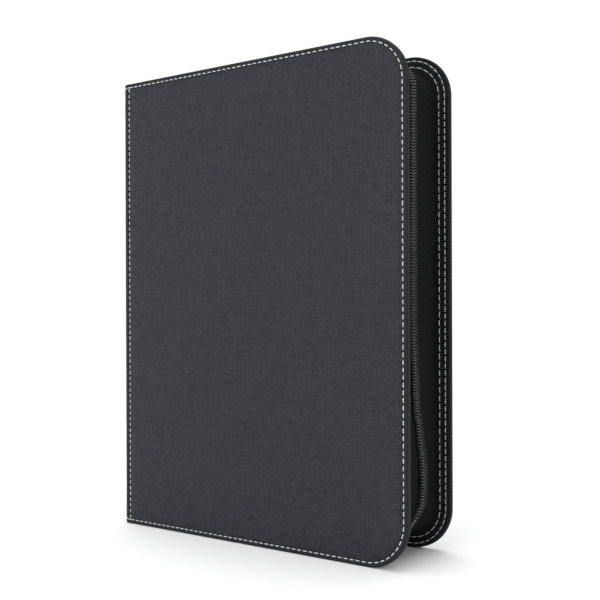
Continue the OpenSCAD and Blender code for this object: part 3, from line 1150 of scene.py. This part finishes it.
def pocket(shape, x0, x1, z0, z1, y, face):
    """One clear pocket: welded down on three sides and slightly open along its upper edge."""
    welded = y + face * (PAGE_SHEET_T / 2 + 0.00001)
    raised = y + face * (PAGE_SHEET_T / 2 + PAGE_FILM_T)
    margin = 0.0012
    columns = [x0, x0 + margin, (2 * x0 + x1) / 3, (x0 + 2 * x1) / 3, x1 - margin, x1]
    storeys = [z0, z0 + margin, (z0 + z1) / 2, z1 - margin, z1]
    rows = []
    for k, z in enumerate(storeys):
        points = []
        for i, x in enumerate(columns):
            flat = k == 0 or i in (0, len(columns) - 1)
            points.append((x, welded if flat else raised, z))
        rows.append(shape.row(points))
    shape.join(rows, closed=False)


def strip_face(y):
    """How far the binding strip's face stands at this y: a ridge, lower to both sides."""
    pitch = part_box("page_02")[0].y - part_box("page_01")[0].y
    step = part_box("page_02")[0].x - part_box("page_01")[0].x
    return strip_high.x - step / pitch * max(0.0, abs(y) - pitch / 2) - 0.0002


def blend_page(piece):
    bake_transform(piece)


# ---- Making everything ----

for side in SIDES:
    cover_skin(side)
    cover_pad(side)
    edge_stitches(side)
    webbing_band(side)
    webbing_stitches(side)
    tape_wall(side)
    coil(side)
    crease_strip(side)
    crease_stitches(side)
    inner_hinge(side)
    softened_copy(f"{side}_zip_stops", f"{side}_stop_blocks", f"{side}_cover", 0.0003)

spine_skin()
spine_stitches()
stay_pieces()
softened_copy("slider_body", "slider_casting", "slider", 0.00035)
softened_copy("pull_tab", "pull_casting", "pull", 0.00035)
for node in PAGE_NAMES:
    page_pieces(node)

KEPT_NODES = {"binding_strip": LINING, "spine_board": BOARD, "spine_lining": LINING}
for side in SIDES:
    KEPT_NODES[f"{side}_board"] = BOARD
    KEPT_NODES[f"{side}_lining"] = LINING
for name, material in KEPT_NODES.items():
    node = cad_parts[name]
    node.data.materials.clear()
    node.data.materials.append(material)


# ---- Floor, light and camera ----

VIEW_YAW = math.radians(35.04)
VIEW_FORWARD = (-math.sin(VIEW_YAW), math.cos(VIEW_YAW), 0.0)
WALL_LIGHT = 1.02
ROOM_LIGHT = 0.14

# Shares of the way towards the wall between which the light rises, and heights between which the
# white skirting fades.
WALL_TURN = (0.2, 0.8)
SKIRTING = (0.24, 0.4)

CAMERA_PLACE = (0.2966, -0.4014, 0.12449)
CAMERA_ROLL = math.radians(-0.19)
CAMERA_SHIFT = 0.0124
LENS = 55
BINDER_MIDDLE = (0.0, 0.0, 0.12)


def make_floor():
    mesh = bpy.data.meshes.new("studio_floor")
    reach = 6.0
    corners = [(-reach, -reach, 0), (reach, -reach, 0), (reach, reach, 0), (-reach, reach, 0)]
    mesh.from_pydata(corners, [], [(0, 1, 2, 3)])
    mesh.materials.append(floor_material())
    floor = add_object("studio_floor", mesh)


def make_lamp(name, place_at, target, size, watts):
    light = bpy.data.lights.new(name, "AREA")
    light.shape = "DISK"
    light.size = size
    light.energy = watts
    lamp = add_object(name, light)
    lamp.location = place_at
    aim = Vector(target) - Vector(place_at)
    lamp.rotation_euler = aim.to_track_quat("-Z", "Y").to_euler()


def make_overhead():
    """A broad, even light from above, which keeps the floor white as far as it reaches."""
    light = bpy.data.lights.new("overhead", "SUN")
    light.angle = math.radians(50)
    light.energy = 2.6
    add_object("overhead", light)


def make_world():
    """A white wall behind the binder, a dimmer room on the camera's side, and a white skirting."""
    world = bpy.data.worlds.new("studio")
    world.use_nodes = True
    nodes = world.node_tree.nodes
    links = world.node_tree.links

    def ramp(source, between, first, last):
        """Turns a value into a smooth step from the first light to the last."""
        node = nodes.new("ShaderNodeMapRange")
        node.interpolation_type = "SMOOTHSTEP"
        links.new(source, node.inputs["Value"])
        for key, value in zip(("From Min", "From Max", "To Min", "To Max"), (*between, first, last)):
            node.inputs[key].default_value = value
        return node.outputs["Result"]

    direction = nodes.new("ShaderNodeTexCoord").outputs["Generated"]
    towards_wall = nodes.new("ShaderNodeVectorMath")
    towards_wall.operation = "DOT_PRODUCT"
    towards_wall.inputs[1].default_value = VIEW_FORWARD
    links.new(direction, towards_wall.inputs[0])
    height = nodes.new("ShaderNodeSeparateXYZ")
    links.new(direction, height.inputs[0])
    brighter = nodes.new("ShaderNodeMath")
    brighter.operation = "MAXIMUM"
    wall = ramp(towards_wall.outputs["Value"], WALL_TURN, ROOM_LIGHT, WALL_LIGHT)
    links.new(wall, brighter.inputs[0])
    links.new(ramp(height.outputs["Z"], SKIRTING, WALL_LIGHT, 0.0), brighter.inputs[1])
    links.new(brighter.outputs["Value"], nodes["Background"].inputs["Strength"])
    nodes["Background"].inputs["Color"].default_value = (1.0, 1.0, 1.0, 1)
    bpy.context.scene.world = world


def make_camera():
    """The photograph's view: 35 degrees round from the front, level, at about half height."""
    data = bpy.data.cameras.new("camera")
    data.lens = LENS
    data.shift_y = CAMERA_SHIFT
    camera = add_object("camera", data)
    camera.location = CAMERA_PLACE
    turn = Vector(VIEW_FORWARD).to_track_quat("-Z", "Y").to_matrix()
    roll = Euler((0, 0, CAMERA_ROLL)).to_matrix()
    camera.rotation_euler = (turn @ roll).to_euler()
    bpy.context.scene.camera = camera


bpy.context.scene.view_settings.view_transform = "Standard"
make_floor()
make_world()
make_overhead()
make_lamp("key", (-0.2, -1.9, 1.0), BINDER_MIDDLE, size=1.4, watts=19)
make_lamp("left_fill", (-1.8, -0.9, 0.7), BINDER_MIDDLE, size=1.2, watts=4)
make_lamp("right_edge", (1.7, -0.2, 0.9), (0.05, 0.0, 0.12), size=0.5, watts=7)
make_camera()
